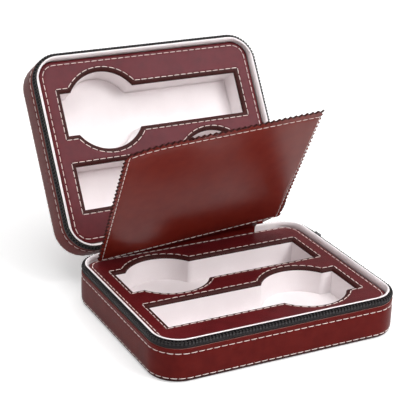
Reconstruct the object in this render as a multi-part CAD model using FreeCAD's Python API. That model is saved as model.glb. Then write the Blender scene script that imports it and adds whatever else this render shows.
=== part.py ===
import FreeCAD, Part
import math
import os

from FreeCAD import Vector

# Zip-around travel case for four watches, lying open with its divider raised.
# Lengths are millimetres. +X runs along the long side, +Y towards the hinge, +Z up.
# The origin is the middle of the base's underside.
# Both halves are one design: the lid is the base turned over about the parting plane.

# Closed case. Its length and depth follow from the wells and the margins round them.
half_height = 31.0
corner_radius = 22.0
bottom_bevel = 2.0

# Leather band round the side, which thins where it laps over the zipper tape
band_drop = 6.0
band_thickness = 2.0
band_lap_thickness = 1.2
band_lap_height = 4.0
band_return_width = 8.0

# Leather sheet that closes the underside of the base and the top of the lid
cover_thickness = 1.2

# Board tray that stiffens each half
tray_wall_thickness = 1.6
tray_floor_thickness = 1.8
tray_wall_drop = 2.6
tray_inner_radius = 16.9

# Velvet lining that wraps the rim
rim_lining_thickness = 0.9
rim_lip_outer_inset = 2.5
rim_lining_depth = 10.8

# Gap between the two rims when the case is shut, and the gap left beside soft pieces
rim_gap = 0.3
soft_clearance = 0.2

# Watch panel: a board with two keyhole cut-outs, covered in leather
panel_drop = 3.9
panel_leather_thickness = 1.0
panel_board_thickness = 1.5
panel_clearance = 1.0
panel_corner_radius = 13.5

# Keyhole wells: a strap channel with a round head for the watch case
channel_length = 149.2
channel_width = 33.1
head_radius = 30.5
head_end_stub = 3.8
row_bridge = 10.55
panel_end_margin = 14.9
panel_side_margin = 11.7
well_floor_height = 7.8
well_lining_thickness = 0.8

# Zipper
tape_thickness = 0.8
tape_drop = 2.6
tape_tuck = 4.0
tooth_pitch = 5.0
tooth_width = 1.8
tooth_thickness = 1.6
tooth_drop = 1.1
stop_length = 2.4
stop_height = 3.0
stop_thickness = 0.9

# Spine strip that carries the lid, and the angle at which the lid stands
spine_length = 132.0
spine_thickness = 1.0
spine_leaf_height = 17.0
spine_corner_radius = 3.0
lid_rest_angle = 123.0

# Divider: a board between two leather sheets with a pinked edge
divider_side_gap = 14.0
divider_front_gap = 10.5
divider_hem = 3.5
divider_back_hem = 0.7
divider_thickness = 2.2
divider_core_thickness = 1.0
divider_core_margin = 1.5
divider_back_gap = 4.0
divider_rest_gap = 0.3
divider_side_shift = -2.85
divider_corner_radius = 3.0
pinking_pitch = 4.5
pinking_depth = 2.0

# Soft strip on which the divider turns. Its axis is a few degrees off the long side,
# so the divider lies square when the case is shut and leans when it stands up.
strip_length = 130.0
strip_side_shift = -9.5
strip_thickness = 0.8
strip_stand = 0.3
strip_seat_gap = 0.1
divider_rest_angle = 57.0
divider_axis_side_gap = 15.5
divider_axis_back_gap = 4.9
divider_axis_rise = 0.9
divider_axis_back_share = 0.064
divider_axis_rise_share = 0.056

# Slider and pull tab, parked at the right-hand end of the zipper
slider_corner_gap = 1.0
slider_length = 11.0
slider_nose_width = 5.0
slider_height = 9.1
slider_thickness = 2.0
slider_bevel = 0.8
slider_top_drop = 1.4
slider_key_length = 8.0
running_clearance = 0.3
lug_width = 3.0
lug_height = 2.8
trunnion_radius = 0.8
trunnion_standoff = 1.9
trunnion_clearance = 0.05
trunnion_drop = 3.8
ear_width = 1.2
ear_wall = 0.6
ear_rise = 1.6
ear_bevel = 0.5
ear_gap = 0.3
tab_length = 20.0
tab_thickness = 1.2
tab_slot_width = 2.4
tab_slot_length = 7.0

# Length by which a cutting shape runs past the piece that it cuts
overrun = 5.0

# Places that follow from the sizes above
tape_outer_inset = band_lap_thickness
tape_inner_inset = tape_outer_inset + tape_thickness
zipper_inset = tape_outer_inset + tape_thickness / 2
tray_inner_inset = tape_inner_inset + tray_wall_thickness
wall_inset = tray_inner_inset + rim_lining_thickness
wall_radius = tray_inner_radius - rim_lining_thickness
panel_inset = wall_inset + panel_clearance
head_offset = channel_length / 2 - head_radius - head_end_stub
row_offset = (head_radius + channel_width / 2 + row_bridge) / 2
half_length = channel_length / 2 + panel_end_margin + panel_inset
half_depth = row_offset + head_radius + panel_side_margin + panel_inset
band_height = half_height - band_drop
tray_wall_height = half_height - tray_wall_drop
tape_height = half_height - tape_drop
rim_height = half_height - rim_gap / 2
panel_top_height = half_height - panel_drop
foam_top = panel_top_height - panel_leather_thickness - panel_board_thickness
foam_bottom = cover_thickness + tray_floor_thickness
tape_end_offset = spine_length / 2 - tape_tuck
hinge_point = Vector(0, half_depth + spine_thickness, half_height)
x_axis = Vector(1, 0, 0)
y_axis = Vector(0, 1, 0)
z_axis = Vector(0, 0, 1)
quarter_turn = 90
half_turn = 180

# Well rows: name, place of the round head along X, place of the row along Y
well_rows = (
    ("rear", -head_offset, row_offset),
    ("front", head_offset, -row_offset),
)


def block(low, high):
    """Box between two opposite corners."""
    size = high - low
    return Part.makeBox(size.x, size.y, size.z, low)


def rounded_rectangle(half_x, half_y, radius, z):
    """Closed wire of a rectangle with round corners, centred on the origin."""
    corners = ((1, 1), (-1, 1), (-1, -1), (1, -1))
    arcs = []
    for index, (side_x, side_y) in enumerate(corners):
        centre = Vector(side_x * (half_x - radius), side_y * (half_y - radius), z)
        start = index * quarter_turn
        arcs.append(Part.makeCircle(radius, centre, z_axis, start, start + quarter_turn))
    edges = []
    for index, arc in enumerate(arcs):
        following = arcs[(index + 1) % len(arcs)]
        edges.append(arc)
        edges.append(Part.makeLine(arc.valueAt(arc.LastParameter),
                                   following.valueAt(following.FirstParameter)))
    return Part.Wire(edges)


def plate(inset, radius, z_low, z_high):
    """Slab with the case's outline, moved in by an inset."""
    wire = rounded_rectangle(half_length - inset, half_depth - inset, radius, z_low)
    return Part.Face(wire).extrude(Vector(0, 0, z_high - z_low))


def outer_plate(inset, z_low, z_high):
    """Slab whose corners share their centres with the case's outer corners."""
    return plate(inset, corner_radius - inset, z_low, z_high)


def cut_corner_plate(inset, cut, z_low, z_high):
    """Slab with the case's outline, moved in by an inset, with straight-cut corners."""
    low = Vector(inset - half_length, inset - half_depth, z_low)
    high = Vector(half_length - inset, half_depth - inset, z_high)
    slab = block(low, high)
    upright = [edge for edge in slab.Edges if edge.BoundBox.ZLength > (z_high - z_low) / 2]
    return slab.makeChamfer(cut, upright)


def level_edges(shape, z):
    """Edges of a shape that lie in the level plane at height z."""
    tolerance = soft_clearance / 100
    found = []
    for edge in shape.Edges:
        box = edge.BoundBox
        if abs(box.ZMin - z) < tolerance and abs(box.ZMax - z) < tolerance:
            found.append(edge)
    return found


def side_leather():
    """Band round the side, with a bevelled lower edge that returns under the tray."""
    outside = outer_plate(0, 0, band_height)
    outside = outside.makeChamfer(bottom_bevel, level_edges(outside, 0))
    lap_start = band_height - band_lap_height
    room = outer_plate(band_thickness, cover_thickness, lap_start)
    lap_room = outer_plate(band_lap_thickness, lap_start, band_height + overrun)
    opening = outer_plate(band_return_width, -overrun, cover_thickness)
    return outside.cut(room.fuse([lap_room, opening]))


def cover_leather():
    """Sheet that fills the ring left by the band's return."""
    return outer_plate(band_return_width + soft_clearance, 0, cover_thickness)


def tray_board():
    """Stiff tray: a floor with one continuous wall."""
    body = outer_plate(tape_inner_inset, cover_thickness, tray_wall_height)
    room = plate(tray_inner_inset, tray_inner_radius, foam_bottom, tray_wall_height + overrun)
    return body.cut(room)


def rim_lining():
    """Velvet on the inside of the wall, turned over its top as a lip."""
    skirt_bottom = rim_height - rim_lining_depth
    lip = outer_plate(rim_lip_outer_inset, tray_wall_height, rim_height)
    skirt = plate(tray_inner_inset, tray_inner_radius, skirt_bottom, tray_wall_height)
    room = plate(wall_inset, wall_radius, skirt_bottom - overrun, rim_height + overrun)
    return lip.fuse(skirt).cut(room).removeSplitter()


def keyhole(head_x, row_y, growth, z_low, z_high):
    """Strap channel joined to its round head, grown all round by a set amount."""
    half_channel = Vector(channel_length / 2 + growth, channel_width / 2 + growth, 0)
    centre = Vector(0, row_y, z_low)
    channel = block(centre - half_channel, centre + half_channel + Vector(0, 0, z_high - z_low))
    head = Part.makeCylinder(head_radius + growth, z_high - z_low, Vector(head_x, row_y, z_low))
    return channel.fuse(head).removeSplitter()


def foam_block():
    """Foam that fills the tray, with a pocket for each lined well."""
    inset = wall_inset + soft_clearance
    foam = cut_corner_plate(inset, wall_radius, foam_bottom, foam_top)
    pocket_floor = well_floor_height - well_lining_thickness
    pockets = [keyhole(head_x, row_y, well_lining_thickness, pocket_floor, foam_top + overrun)
               for _, head_x, row_y in well_rows]
    return foam.cut(pockets)


def well_lining(head_x, row_y):
    """Velvet cup that lines one well, open at the top."""
    pocket_floor = well_floor_height - well_lining_thickness
    cup = keyhole(head_x, row_y, well_lining_thickness, pocket_floor, foam_top)
    return cup.cut(keyhole(head_x, row_y, 0, well_floor_height, foam_top + overrun))


def panel_sheet(z_low, z_high):
    """Flat layer of the watch panel with both keyholes cut through."""
    sheet = plate(panel_inset, panel_corner_radius, z_low, z_high)
    cutters = [keyhole(head_x, row_y, 0, z_low - overrun, z_high + overrun)
               for _, head_x, row_y in well_rows]
    return sheet.cut(cutters)


def panel_board():
    """Board that carries the panel's leather."""
    return panel_sheet(foam_top, foam_top + panel_board_thickness)


def panel_leather():
    """Leather face of the watch panel."""
    return panel_sheet(panel_top_height - panel_leather_thickness, panel_top_height)


def zipper_tape():
    """Woven tape, tucked behind the band and ending under the spine strip."""
    bottom = band_height - band_lap_height
    ring = outer_plate(tape_outer_inset, bottom, tape_height)
    ring = ring.cut(outer_plate(tape_inner_inset, bottom - overrun, tape_height + overrun))
    gap = block(Vector(-tape_end_offset, 0, bottom - overrun),
                Vector(tape_end_offset, half_depth + overrun, tape_height + overrun))
    return ring.cut(gap)


def zipper_run(distance):
    """Place and heading of the tooth row, measured from the middle of the front."""
    run_x = half_length - zipper_inset
    run_y = half_depth - zipper_inset
    radius = corner_radius - zipper_inset
    arc = math.pi * radius / 2
    front = run_x - radius
    side = 2 * (run_y - radius)
    side_sign = 1 if distance >= 0 else -1
    left = abs(distance)
    if left <= front:
        x, y, heading = left, -run_y, 0
    elif left <= front + arc:
        heading = (left - front) / radius
        x = run_x - radius + radius * math.sin(heading)
        y = -run_y + radius - radius * math.cos(heading)
    elif left <= front + arc + side:
        heading = math.pi / 2
        x, y = run_x, -run_y + radius + left - front - arc
    elif left <= front + arc + side + arc:
        turn = (left - front - arc - side) / radius
        heading = math.pi / 2 + turn
        x = run_x - radius + radius * math.cos(turn)
        y = run_y - radius + radius * math.sin(turn)
    else:
        heading = math.pi
        x, y = front - (left - front - arc - side - arc), run_y
    return side_sign * x, y, side_sign * math.degrees(heading)


def zipper_half_run():
    """Length of the tooth row from the middle of the front to one end stop."""
    radius = corner_radius - zipper_inset
    front = half_length - zipper_inset - radius
    side = 2 * (half_depth - zipper_inset - radius)
    return front + side + math.pi * radius + front - tape_end_offset - stop_length


def zipper_teeth():
    """Row of wedge teeth. Turned over, the row falls half a pitch out of step,
    so the teeth of the two halves face each other's gaps when the case is shut."""
    profile = Part.makePolygon([
        Vector(-tooth_width / 2, -tooth_thickness / 2, tape_height),
        Vector(tooth_width / 2, -tooth_thickness / 2, tape_height),
        Vector(0, -tooth_thickness / 2, half_height - tooth_drop),
        Vector(-tooth_width / 2, -tooth_thickness / 2, tape_height),
    ])
    tooth = Part.Face(profile).extrude(Vector(0, tooth_thickness, 0))
    phase = tooth_pitch / 4
    reach = zipper_half_run()
    count = int((reach - phase - tooth_width) / tooth_pitch)
    teeth = []
    for step in range(-count, count + 1):
        x, y, heading = zipper_run(step * tooth_pitch + phase)
        placed = tooth.copy()
        placed.rotate(Vector(0, 0, 0), z_axis, heading)
        placed.translate(Vector(x, y, 0))
        teeth.append(placed)
    return Part.makeCompound(teeth)


def zipper_stops():
    """Clamps on the tape's two ends that keep the slider on."""
    face = half_depth - tape_outer_inset
    low = Vector(tape_end_offset, face, tape_height - stop_height)
    clamp = block(low, low + Vector(stop_length, stop_thickness, stop_height))
    other = clamp.mirror(Vector(0, 0, 0), x_axis)
    return Part.makeCompound([clamp, other])


def spine_leaf():
    """One half of the spine strip, from its stitched edge to the bend."""
    low = Vector(-spine_length / 2, half_depth, rim_height - spine_leaf_height)
    high = Vector(spine_length / 2, half_depth + spine_thickness, rim_height)
    leaf = block(low, high)
    corners = [edge for edge in leaf.Edges
               if edge.BoundBox.YLength > spine_thickness / 2
               and edge.BoundBox.ZMax < rim_height - spine_leaf_height / 2]
    corners = [edge for edge in corners if edge.BoundBox.XLength < spine_thickness / 2]
    return leaf.makeFillet(spine_corner_radius, corners)


def half_case():
    """Every piece of one half, in the base's place."""
    pieces = {
        "side_leather": side_leather(),
        "cover_leather": cover_leather(),
        "tray_board": tray_board(),
        "foam_block": foam_block(),
        "panel_board": panel_board(),
        "panel_leather": panel_leather(),
        "rim_lining": rim_lining(),
        "zipper_tape": zipper_tape(),
        "zipper_teeth": zipper_teeth(),
        "zipper_stops": zipper_stops(),
        "spine_leaf": spine_leaf(),
    }
    for name, head_x, row_y in well_rows:
        pieces[name + "_well_lining"] = well_lining(head_x, row_y)
    return pieces


def opened_as_lid(shape):
    """Turn a base piece over onto the parting plane, then swing it open."""
    turned = shape.copy()
    turned.rotate(Vector(0, 0, half_height), y_axis, half_turn)
    turned.rotate(hinge_point, x_axis, -lid_rest_angle)
    return turned


# Divider, drawn flat on the base's panel and then raised

divider_back = half_depth - wall_inset - divider_back_gap
divider_front = wall_inset - half_depth + divider_front_gap
divider_half_width = half_length - wall_inset - divider_side_gap
divider_level = panel_top_height + divider_rest_gap + divider_thickness / 2
divider_axis_point = Vector(wall_inset - half_length + divider_axis_side_gap,
                            half_depth - wall_inset - divider_axis_back_gap,
                            divider_level + divider_axis_rise)
divider_axis = Vector(1, divider_axis_back_share, divider_axis_rise_share)


def raised(shape):
    """Swing a divider piece up from flat to the angle at which it stands."""
    turned = shape.copy()
    turned.rotate(divider_axis_point, divider_axis, -divider_rest_angle)
    return turned


def pinked_run(start, end, inward):
    """Points of a zigzag edge from start up to, but without, end."""
    run = end - start
    count = max(1, round(run.Length / pinking_pitch))
    points = []
    for step in range(count):
        points.append(start + run * (step / count))
        points.append(start + run * ((step + 1 / 2) / count) + inward * pinking_depth)
    return points


def divider_outline(z):
    """Outline with pinked sides and front, and a plain back edge with round corners."""
    left = divider_side_shift - divider_half_width
    right = divider_side_shift + divider_half_width
    radius = divider_corner_radius
    side_start = Vector(left, divider_back - radius, z)
    front_left = Vector(left, divider_front, z)
    front_right = Vector(right, divider_front, z)
    side_end = Vector(right, divider_back - radius, z)
    points = pinked_run(side_start, front_left, x_axis)
    points += pinked_run(front_left, front_right, y_axis)
    points += pinked_run(front_right, side_end, -x_axis)
    points.append(side_end)
    edges = [Part.makeLine(a, b) for a, b in zip(points, points[1:])]
    right_centre = Vector(right - radius, divider_back - radius, z)
    left_centre = Vector(left + radius, divider_back - radius, z)
    edges.append(Part.makeCircle(radius, right_centre, z_axis, 0, quarter_turn))
    edges.append(Part.makeLine(right_centre + y_axis * radius, left_centre + y_axis * radius))
    edges.append(Part.makeCircle(radius, left_centre, z_axis, quarter_turn, half_turn))
    return Part.Wire(edges)


def divider_core():
    """Board held between the two leather sheets, inside the stitch line."""
    half_x = divider_half_width - divider_hem - divider_core_margin
    low = Vector(divider_side_shift - half_x,
                 divider_front + divider_hem + divider_core_margin,
                 divider_level - divider_core_thickness / 2)
    high = Vector(divider_side_shift + half_x,
                  divider_back - divider_back_hem - divider_core_margin,
                  divider_level + divider_core_thickness / 2)
    return block(low, high)


def divider_sheet(z_low):
    """Leather sheet over one face of the board, meeting its twin along the hem."""
    sheet = Part.Face(divider_outline(z_low)).extrude(Vector(0, 0, divider_thickness / 2))
    return sheet.cut(divider_core())


def twisted_block(lower, upper):
    """Solid between two four-sided ends whose sides are folded along a diagonal."""
    faces = [Part.Face(Part.makePolygon(ring + ring[:1])) for ring in (lower, upper)]
    for index in range(len(lower)):
        following = (index + 1) % len(lower)
        a, b = lower[index], lower[following]
        c, d = upper[following], upper[index]
        faces.append(Part.Face(Part.makePolygon([a, b, c, a])))
        faces.append(Part.Face(Part.makePolygon([a, c, d, a])))
    solid = Part.Solid(Part.makeShell(faces))
    solid.fix(0, 0, 0)
    return solid


def divider_strip():
    """Leather strip glued behind the panel and sewn along the divider's back edge."""
    back = half_depth - wall_inset - strip_seat_gap
    front = back - strip_thickness
    fold = panel_top_height + strip_stand
    left = strip_side_shift - strip_length / 2
    right = strip_side_shift + strip_length / 2
    root = block(Vector(left, front, foam_top + strip_seat_gap), Vector(right, back, fold))
    lower = [Vector(left, front, fold), Vector(right, front, fold),
             Vector(right, back, fold), Vector(left, back, fold)]
    edge = divider_back + strip_seat_gap
    below = divider_level - strip_thickness / 2
    above = divider_level + strip_thickness / 2
    ends = [Vector(left, edge, below), Vector(right, edge, below),
            Vector(right, edge, above), Vector(left, edge, above)]
    upper = [raised(Part.Vertex(end)).Point for end in ends]
    return root.fuse(twisted_block(lower, upper))


# Slider, drawn on the right-hand side of the base

slider_park = half_depth - corner_radius - slider_length / 2 - slider_corner_gap
slider_face = half_length + running_clearance
slider_top = half_height - slider_top_drop
trunnion_point = Vector(slider_face + slider_thickness + trunnion_standoff,
                        slider_park, slider_top - trunnion_drop)


def slider_body():
    """Domed plate with a key that runs above the band, and a lug with two trunnions."""
    half_run = slider_length / 2
    half_nose = slider_nose_width / 2
    middle = slider_top - slider_height / 2
    outline = [
        Vector(slider_face, slider_park - half_run, middle - half_nose),
        Vector(slider_face, slider_park - half_run, middle + half_nose),
        Vector(slider_face, slider_park, slider_top),
        Vector(slider_face, slider_park + half_run, slider_top),
        Vector(slider_face, slider_park + half_run, slider_top - slider_height),
        Vector(slider_face, slider_park, slider_top - slider_height),
    ]
    plate_face = Part.Face(Part.makePolygon(outline + outline[:1]))
    body = plate_face.extrude(Vector(slider_thickness, 0, 0))
    outer_face = slider_face + slider_thickness
    rim = [edge for edge in body.Edges
           if edge.BoundBox.XMin > outer_face - slider_thickness / 2]
    body = body.makeChamfer(slider_bevel, rim)
    key = block(Vector(half_length - tape_outer_inset + running_clearance,
                       slider_park - slider_key_length / 2, band_height + running_clearance),
                Vector(slider_face,
                       slider_park + slider_key_length / 2, tape_height - running_clearance))
    lug = block(Vector(outer_face - slider_bevel, slider_park - lug_width / 2,
                       trunnion_point.z - lug_height / 2),
                Vector(trunnion_point.x + trunnion_radius, slider_park + lug_width / 2,
                       trunnion_point.z + lug_height / 2))
    reach = lug_width / 2 + ear_gap + ear_width
    trunnion = Part.makeCylinder(trunnion_radius, 2 * reach,
                                 trunnion_point - y_axis * reach, y_axis)
    return body.fuse([key, lug, trunnion]).removeSplitter()


def ear_top_edges(ear):
    """The two top edges of an ear that lie along the trunnion."""
    return [edge for edge in level_edges(ear, trunnion_point.z + ear_rise)
            if edge.BoundBox.YLength > ear_width / 2]


def pull_tab():
    """Hanging tab with an ear over each trunnion, a rounded end and a slot."""
    inner = lug_width / 2 + ear_gap
    outer = inner + ear_width
    shoulder = trunnion_point.z - lug_height / 2 - ear_gap
    tip = trunnion_point.z - tab_length
    thick = Vector(tab_thickness, 0, 0)
    back_x = trunnion_point.x - tab_thickness / 2
    ear_half = trunnion_radius + trunnion_clearance + ear_wall
    tab = block(Vector(back_x, slider_park - outer, tip + outer),
                Vector(back_x, slider_park + outer, shoulder) + thick)
    end = Part.makeCylinder(outer, tab_thickness, Vector(back_x, slider_park, tip + outer), x_axis)
    tab = tab.fuse(end)
    for side in (-1, 1):
        near = slider_park + side * inner
        far = slider_park + side * outer
        ear_low = Vector(trunnion_point.x - ear_half, min(near, far), shoulder)
        ear_high = Vector(trunnion_point.x + ear_half, max(near, far), trunnion_point.z + ear_rise)
        ear = block(ear_low, ear_high)
        ear = ear.makeChamfer(ear_bevel, ear_top_edges(ear))
        tab = tab.fuse(ear)
    hole_radius = trunnion_radius + trunnion_clearance
    hole = Part.makeCylinder(hole_radius, 2 * (outer + overrun),
                             trunnion_point - y_axis * (outer + overrun), y_axis)
    slot_low = tip + outer
    slot = block(Vector(back_x - overrun, slider_park - tab_slot_width / 2, slot_low),
                 Vector(back_x + overrun, slider_park + tab_slot_width / 2,
                        slot_low + tab_slot_length))
    return tab.cut([hole, slot]).removeSplitter()


def main():
    os.makedirs("parts", exist_ok=True)
    nodes = {}
    for name, shape in half_case().items():
        nodes["base_" + name] = shape
        nodes["lid_" + name] = opened_as_lid(shape)
    nodes["divider_core_board"] = raised(divider_core())
    nodes["divider_lower_leather"] = raised(divider_sheet(divider_level - divider_thickness / 2))
    nodes["divider_upper_leather"] = raised(divider_sheet(divider_level))
    nodes["divider_hinge_strip"] = divider_strip()
    nodes["slider_body"] = slider_body()
    nodes["slider_pull_tab"] = pull_tab()
    for name, shape in nodes.items():
        shape.exportStep(os.path.join("parts", name + ".step"))


main()
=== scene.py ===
import math
import random

import bpy
import numpy as np
from mathutils import Matrix, Vector
from mathutils.geometry import delaunay_2d_cdt


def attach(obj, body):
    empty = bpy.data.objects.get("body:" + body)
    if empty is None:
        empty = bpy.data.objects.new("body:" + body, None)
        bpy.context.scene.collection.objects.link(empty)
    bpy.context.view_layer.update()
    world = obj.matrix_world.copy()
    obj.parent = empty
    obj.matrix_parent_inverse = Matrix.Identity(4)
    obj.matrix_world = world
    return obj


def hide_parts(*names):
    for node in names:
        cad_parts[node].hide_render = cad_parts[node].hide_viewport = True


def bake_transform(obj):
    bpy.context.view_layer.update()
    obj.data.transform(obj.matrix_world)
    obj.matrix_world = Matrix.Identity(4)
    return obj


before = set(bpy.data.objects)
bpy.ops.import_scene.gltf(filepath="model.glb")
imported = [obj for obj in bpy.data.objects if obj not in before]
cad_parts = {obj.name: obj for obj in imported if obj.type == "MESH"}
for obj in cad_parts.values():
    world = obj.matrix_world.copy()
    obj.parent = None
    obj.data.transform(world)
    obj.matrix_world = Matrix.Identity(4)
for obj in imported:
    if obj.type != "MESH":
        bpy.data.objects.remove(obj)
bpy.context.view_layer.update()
random.seed(7)

# Shapes are drawn in millimetres. The lid's are drawn as the base's and turned over.
MM = 0.001

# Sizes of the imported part
HALF_X, HALF_Y, HALF_Z = 95.0, 76.5, 31.0
CORNER = 22.0
WALL_INSET, WALL_RADIUS = 4.5, 16.0
PANEL_INSET, PANEL_RADIUS, PANEL_TOP = 5.5, 13.5, 27.1
CHANNEL_X, CHANNEL_Y = 74.6, 16.55
HEAD_RADIUS, HEAD_X, ROW_Y = 30.5, 40.3, 28.8
TAPE_END, ZIP_INSET = 62.0, 1.6
HINGE = (0.0, 77.5, 31.0)
LID_ANGLE = 123.0
DIVIDER_POINT = (-75.0, 67.1, 29.4)
DIVIDER_AXIS = (1.0, 0.064, 0.056)
DIVIDER_ANGLE = 57.0
DIVIDER_LEVEL = 28.5
DIV_X0, DIV_X1, DIV_Y0, DIV_Y1 = -79.35, 73.65, -61.5, 68.0
STRIP_X0, STRIP_X1 = -74.5, 55.5
ROWS = (("rear", -HEAD_X, ROW_Y), ("front", HEAD_X, -ROW_Y))


# ---------------------------------------------------------------- placing

def turn(axis, degrees, point):
    """Rotation about an axis through a point, as a 4x4 in millimetres."""
    move = Matrix.Translation(Vector(point))
    return move @ Matrix.Rotation(math.radians(degrees), 4, Vector(axis)) @ move.inverted()


BASE = Matrix.Identity(4)
LID = turn((1, 0, 0), -LID_ANGLE, HINGE) @ turn((0, 1, 0), 180, (0, 0, HALF_Z))
RAISED = turn(DIVIDER_AXIS, -DIVIDER_ANGLE, DIVIDER_POINT)
SIDES = (("base", BASE), ("lid", LID))


def place(points, matrix):
    """Millimetre points through a matrix."""
    m = np.array(matrix)
    return np.asarray(points, float) @ m[:3, :3].T + m[:3, 3]


# ---------------------------------------------------------------- meshes

class Soup:
    """Vertices and faces gathered into one mesh."""

    def __init__(self):
        self.points, self.faces, self.shades, self.count = [], [], [], 0

    def add(self, points, faces):
        points = np.asarray(points, float)
        self.points.append(points)
        self.faces += [tuple(i + self.count for i in f) for f in faces]
        self.shades += [0] * len(faces)
        self.count += len(points)

    def loft(self, loops, closed=True, shades=None):
        """Quads between loops of equal length. Shades give each strip its material's number."""
        n = len(loops[0])
        span = n if closed else n - 1
        faces, marks = [], []
        for k in range(len(loops) - 1):
            for i in range(span):
                j = (i + 1) % n
                faces.append((k * n + i, k * n + j, (k + 1) * n + j, (k + 1) * n + i))
                marks.append(shades[k] if shades else 0)
        self.add(np.concatenate(loops), faces)
        self.shades[-len(marks):] = marks
        return self

    def fan(self, loop, flip=False):
        """One face over a closed loop."""
        order = list(range(len(loop)))
        self.add(loop, [tuple(reversed(order)) if flip else tuple(order)])

    def cap(self, loops):
        """Faces over the first and last of some lofted loops."""
        self.fan(loops[0], flip=True)
        self.fan(loops[-1])

    def make(self, name, materials, matrix=BASE, body=None, slot=None, replaces=(), sharp=35.0):
        """Smooth-shaded piece, sharp past an angle, that rides a body and replaces CAD nodes."""
        mesh = bpy.data.meshes.new(name)
        points = place(np.concatenate(self.points), matrix) * MM
        mesh.from_pydata([tuple(p) for p in points], [], self.faces)
        for material in materials:
            mesh.materials.append(material)
        mesh.polygons.foreach_set("material_index", self.shades)
        mesh.validate()
        mesh.polygons.foreach_set("use_smooth", [True] * len(mesh.polygons))
        mesh.set_sharp_from_angle(angle=math.radians(sharp))
        mesh.update()
        obj = bpy.data.objects.new(name, mesh)
        bpy.context.scene.collection.objects.link(obj)
        if body:
            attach(obj, body)
        if replaces:
            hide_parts(*replaces)
        return obj


ARC_STEPS = 14
SIDE_STEPS = (30, 24)


def rounded(inset, radius):
    """Rounded rectangle of the case, moved in by an inset: points and outward normals."""
    hx, hy = HALF_X - inset, HALF_Y - inset
    points, normals = [], []
    corners = ((1, 1), (-1, 1), (-1, -1), (1, -1))
    for index, (sx, sy) in enumerate(corners):
        cx, cy = sx * (hx - radius), sy * (hy - radius)
        for step in range(ARC_STEPS + 1):
            a = math.radians(90.0 * (index + step / ARC_STEPS))
            points.append((cx + radius * math.cos(a), cy + radius * math.sin(a)))
            normals.append((math.cos(a), math.sin(a)))
        nx, ny = corners[(index + 1) % 4]
        a = math.radians(90.0 * (index + 1))
        end = (nx * (hx - radius) + radius * math.cos(a), ny * (hy - radius) + radius * math.sin(a))
        start = points[-1]
        steps = SIDE_STEPS[index % 2]
        for step in range(1, steps):
            t = step / steps
            points.append((start[0] + (end[0] - start[0]) * t, start[1] + (end[1] - start[1]) * t))
            normals.append((math.cos(a), math.sin(a)))
    return np.array(points), np.array(normals)


def level(flat, z):
    """2-D points lifted to a height."""
    return np.column_stack([flat, np.full(len(flat), z)])


def ring(inset, z, radius=None):
    """Closed 3-D loop of the case's outline at an inset and height."""
    flat, _ = rounded(inset, CORNER - inset if radius is None else radius)
    return level(flat, z)


HEAD_STEPS, END_STEPS = 36, 8
LONG_STEPS, SHORT_STEPS = 20, 3


def keyhole(head_x, row_y, growth):
    """Outline of a well, grown all round: a list of smooth runs, counter-clockwise."""
    hx, hy = CHANNEL_X + growth, CHANNEL_Y + growth
    radius = HEAD_RADIUS + growth
    dx = math.sqrt(radius ** 2 - hy ** 2)
    reach = math.degrees(math.atan2(hy, dx))
    left, right = head_x - dx, head_x + dx

    def line(a, b, steps):
        return [(a[0] + (b[0] - a[0]) * t / steps, a[1] + (b[1] - a[1]) * t / steps)
                for t in range(steps + 1)]

    def arc(a, b, steps):
        return [(head_x + radius * math.cos(math.radians(a + (b - a) * t / steps)),
                 radius * math.sin(math.radians(a + (b - a) * t / steps))) for t in range(steps + 1)]

    near, far = (LONG_STEPS, SHORT_STEPS) if head_x > 0 else (SHORT_STEPS, LONG_STEPS)
    runs = [line((-hx, -hy), (left, -hy), near), arc(-180 + reach, -reach, HEAD_STEPS),
            line((right, -hy), (hx, -hy), far), line((hx, -hy), (hx, hy), END_STEPS),
            line((hx, hy), (right, hy), far), arc(reach, 180 - reach, HEAD_STEPS),
            line((left, hy), (-hx, hy), near), line((-hx, hy), (-hx, -hy), END_STEPS)]
    return [np.array(run) + (0.0, row_y) for run in runs]


def key_ring(head_x, row_y, growth, z):
    """Closed 3-D loop of a keyhole at a growth and height."""
    return level(np.concatenate([run[:-1] for run in keyhole(head_x, row_y, growth)]), z)


def fill(outer, holes, spots=()):
    """Triangles of a flat region between closed loops, with extra points inside."""
    points, edges = [], []
    for loop in [outer] + list(holes):
        first = len(points)
        points += [Vector((p[0], p[1])) for p in loop]
        n = len(loop)
        edges += [(first + i, first + (i + 1) % n) for i in range(n)]
    points += [Vector((p[0], p[1])) for p in spots]
    merge = 1e-5
    verts, _, faces, *_ = delaunay_2d_cdt(points, edges, [], 0, merge)

    def inside(x, y, loop):
        hit = False
        x0, y0 = loop[-1][0], loop[-1][1]
        for x1, y1, *_ in loop:
            if (y0 > y) != (y1 > y) and x < (x1 - x0) * (y - y0) / (y1 - y0) + x0:
                hit = not hit
            x0, y0 = x1, y1
        return hit

    kept = []
    for f in faces:
        x = sum(verts[i].x for i in f) / len(f)
        y = sum(verts[i].y for i in f) / len(f)
        if inside(x, y, outer) and not any(inside(x, y, h) for h in holes):
            a, b, c = (verts[i] for i in f[:3])
            if (b.x - a.x) * (c.y - a.y) - (b.y - a.y) * (c.x - a.x) < 0:
                f = list(reversed(f))
            kept.append(tuple(f))
    return np.array([(v.x, v.y) for v in verts]), kept


# ---------------------------------------------------------------- materials

# Sockets of the Mix node in its colour mode
MIX_FACTOR, MIX_A, MIX_B, MIX_RESULT = 0, 6, 7, 2


def settle(made, **values):
    """Set inputs of a node. An underscore stands for a space in the input's name."""
    for key, value in values.items():
        made.inputs[key.replace("_", " ")].default_value = value


def tools(tree):
    """Maker of nodes and maker of links for a node tree."""
    def node(kind, **settings):
        made = tree.nodes.new(kind)
        for key, value in settings.items():
            if hasattr(made, key):
                setattr(made, key, value)
            else:
                settle(made, **{key: value})
        return made

    return node, tree.links.new


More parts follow.
